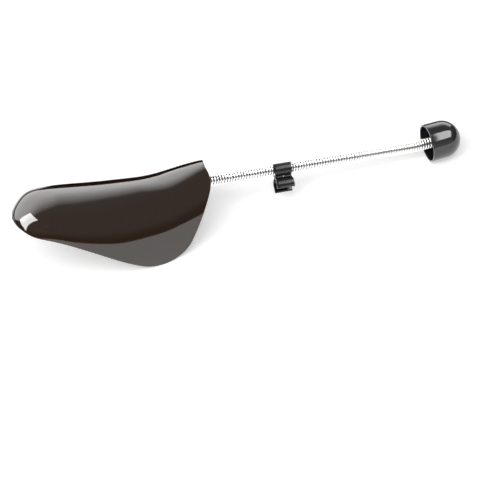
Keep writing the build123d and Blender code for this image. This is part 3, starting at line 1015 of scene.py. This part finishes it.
def buildDarkCard():
    # a black card behind the object, which only shows in gloss: it lies just above the floor from
    # near to far and stands up there, and draws the dark line along the shell's crown
    card = darkCard
    profile = ((card["near"], card["bottom"]), (card["far"], card["bottom"]), (card["far"], card["top"]))
    left = [(x, *at) for x, at in zip((card["nearLeft"], card["farLeft"], card["farLeft"]), profile)]
    points = np.array(left + [(card["right"], *at) for at in profile])
    looks = {"Base Color": card["color"], "Roughness": 1.0, "Specular IOR Level": 0.0}
    piece = addMesh("blackCard", points, gridQuads(2, 3), newMaterial("blackCard", looks)[0])
    piece.visible_camera = piece.visible_diffuse = piece.visible_shadow = False


buildDarkCard()

# a lamp's middle, its two sides as ways (the light goes against along x across), its brightness
# (1 shows as white), and whether dull and glossy surfaces get its light; a lamp that fades has a
# glow by its height, which is put higher or lower along its length by the lift
lamps = {
    "front": {
        "centre": (-0.55, -0.80, 1.25),
        "along": (1.154, -0.794, 0.0),
        "across": (0.447, 0.650, 0.614),
        "brightness": 4.4,
        "dull": True,
        "gloss": False,
    },
    "behind": {
        "centre": (-0.1, 0.675, 0.685),
        "along": (-3.0, 0.0, 0.0),
        "across": (0.0, -0.85, 0.93),
        "brightness": 3.75,
        "dull": False,
        "gloss": True,
        "glow": (
            (0.0, 0.95), (0.60, 0.95), (0.68, 0.78), (0.745, 0.60), (0.785, 0.45),
            (0.86, 0.23), (0.91, 0.07), (0.95, 0.0), (1.0, 0.0),
        ),
        "lift": (
            (0.0, 0.05), (0.37, 0.08), (0.453, 0.14), (0.557, 0.3), (0.60, 0.38),
            (0.635, 0.34), (0.67, 0.30), (1.0, 0.25),
        ),
    },
    "left": {
        "centre": (-0.52, 0.204, 0.376),
        "along": (0.47, 0.043, 0.219),
        "across": (-0.204, 0.405, 0.276),
        "brightness": 13.0,
        "dull": False,
        "gloss": True,
    },
    "right": {
        "centre": (0.631, -0.35, 0.60),
        "along": (0.642, 0.080, 0.0),
        "across": (-0.071, 0.64, 0.0),
        "brightness": 8.4,
        "dull": False,
        "gloss": True,
    },
    "aside": {
        "centre": (0.36, -0.35, 0.12),
        "along": (0.5, 0.0, 0.0),
        "across": (0.0, 0.0, 0.24),
        "brightness": 0.8,
        "dull": False,
        "gloss": True,
        "glow": ((0.0, 1.0), (1.0, 0.0)),
        "lift": ((0.0, 0.0), (1.0, 0.0)),
    },
}


def fadeCurve(tree, value, points):
    # the value of a curve through the points (at, value), which is level beyond its ends
    node = put(tree, "ShaderNodeFloatCurve", {"Value": value})
    node.mapping.extend = "HORIZONTAL"
    curve = node.mapping.curves[0]
    curve.points[0].location, curve.points[1].location = points[:2]
    for place in points[2:]:
        curve.points.new(*place)
    for point in curve.points:
        point.handle_type = "AUTO_CLAMPED"
    node.mapping.update()
    return node.outputs[0]


def fadeLamp(light, lamp):
    # glow = glow curve(share of its height + lift curve(share of its length from the left))
    light.use_nodes = True
    tree = light.node_tree
    place = put(tree, "ShaderNodeNewGeometry").outputs["Position"]
    shares = []
    for axis, side in ((0, lamp["along"]), (2, lamp["across"])):
        middle, half = lamp["centre"][axis], abs(side[axis]) / 2
        shares.append(spread(tree, partOf(tree, place, axis), (middle - half, middle + half)))
    lift = fadeCurve(tree, shares[0], lamp["lift"])
    glow = fadeCurve(tree, calc(tree, "ADD", lift, shares[1]), lamp["glow"])
    fill(tree, tree.nodes["Emission"], {"Strength": glow})


def setInScene(item, middle, right, up, back):
    # puts a lamp or the camera, which look against back, in its place
    item.matrix_world = Matrix.Translation(middle) @ Matrix((right, up, back)).transposed().to_4x4()
    bpy.context.scene.collection.objects.link(item)


def addLamp(name, lamp):
    # the power that makes a lamp look as bright as asked is brightness * pi * area
    along, across = Vector(lamp["along"]), Vector(lamp["across"])
    light = bpy.data.lights.new(name, "AREA")
    light.shape = "RECTANGLE"
    light.size, light.size_y = along.length, across.length
    light.energy = lamp["brightness"] * math.pi * along.length * across.length
    if "glow" in lamp:
        fadeLamp(light, lamp)
    piece = bpy.data.objects.new(name, light)
    right, away = along.normalized(), along.cross(across).normalized()
    setInScene(piece, lamp["centre"], right, away.cross(right), away)
    piece.visible_camera = False
    piece.visible_diffuse, piece.visible_glossy = lamp["dull"], lamp["gloss"]


for name, lamp in lamps.items():
    addLamp(name, lamp)

# how high the way looked at points, from low to high, and how bright the room is there
room = {"heights": (0.1, 0.55), "brightness": (0.15, 0.38)}


def buildWorld():
    # a plain soft grey room, darker near the floor, which the camera sees as white
    world = bpy.data.worlds.new("studio")
    bpy.context.scene.world = world
    world.use_nodes = True
    tree = world.node_tree
    seen = put(tree, "ShaderNodeLightPath").outputs["Is Camera Ray"]
    height = partOf(tree, put(tree, "ShaderNodeTexCoord").outputs["Generated"], "Z")
    shade = spread(tree, height, room["heights"], room["brightness"], interpolation_type="SMOOTHSTEP")
    fill(tree, tree.nodes["Background"], {"Color": mixColors(tree, seen, shade, (1, 1, 1, 1))})


buildWorld()

view = {
    "target": (-5 * mm, 0.0, 20 * mm),
    "targetPixel": (238.89, 190.07),  # where the target shows
    "picturePixels": 480,  # each way
    "focalPixels": 1385.3,
    "distance": 1.0534,
    "yawDeg": -11.59,
    "heightDeg": 40.14,
    "rollDeg": 7.82,
}


def buildCamera():
    # the camera stands at target + distance * back, and is turned so that the target shows at
    # its pixel
    yaw, height, roll = (math.radians(view[k]) for k in ("yawDeg", "heightDeg", "rollDeg"))
    back = Vector((math.sin(yaw) * math.cos(height), -math.cos(yaw) * math.cos(height), math.sin(height)))
    level = Vector((math.cos(yaw), math.sin(yaw), 0))
    upright = back.cross(level)
    right = level * math.cos(roll) - upright * math.sin(roll)
    up = level * math.sin(roll) + upright * math.cos(roll)
    pixels = view["picturePixels"]
    dx, dy = view["targetPixel"][0] - pixels / 2, pixels / 2 - view["targetPixel"][1]
    ahead = (-back * view["focalPixels"] - right * dx - up * dy).normalized()
    right = (right - ahead * right.dot(ahead)).normalized()
    lens = bpy.data.cameras.new("camera")
    lens.lens = view["focalPixels"] / pixels * lens.sensor_width
    camera = bpy.data.objects.new("camera", lens)
    middle = Vector(view["target"]) + back * view["distance"]
    setInScene(camera, middle, right, right.cross(ahead), -ahead)
    bpy.context.scene.camera = camera


buildCamera()
bpy.context.scene.view_settings.view_transform = "Standard"
print("floor, light and camera set")
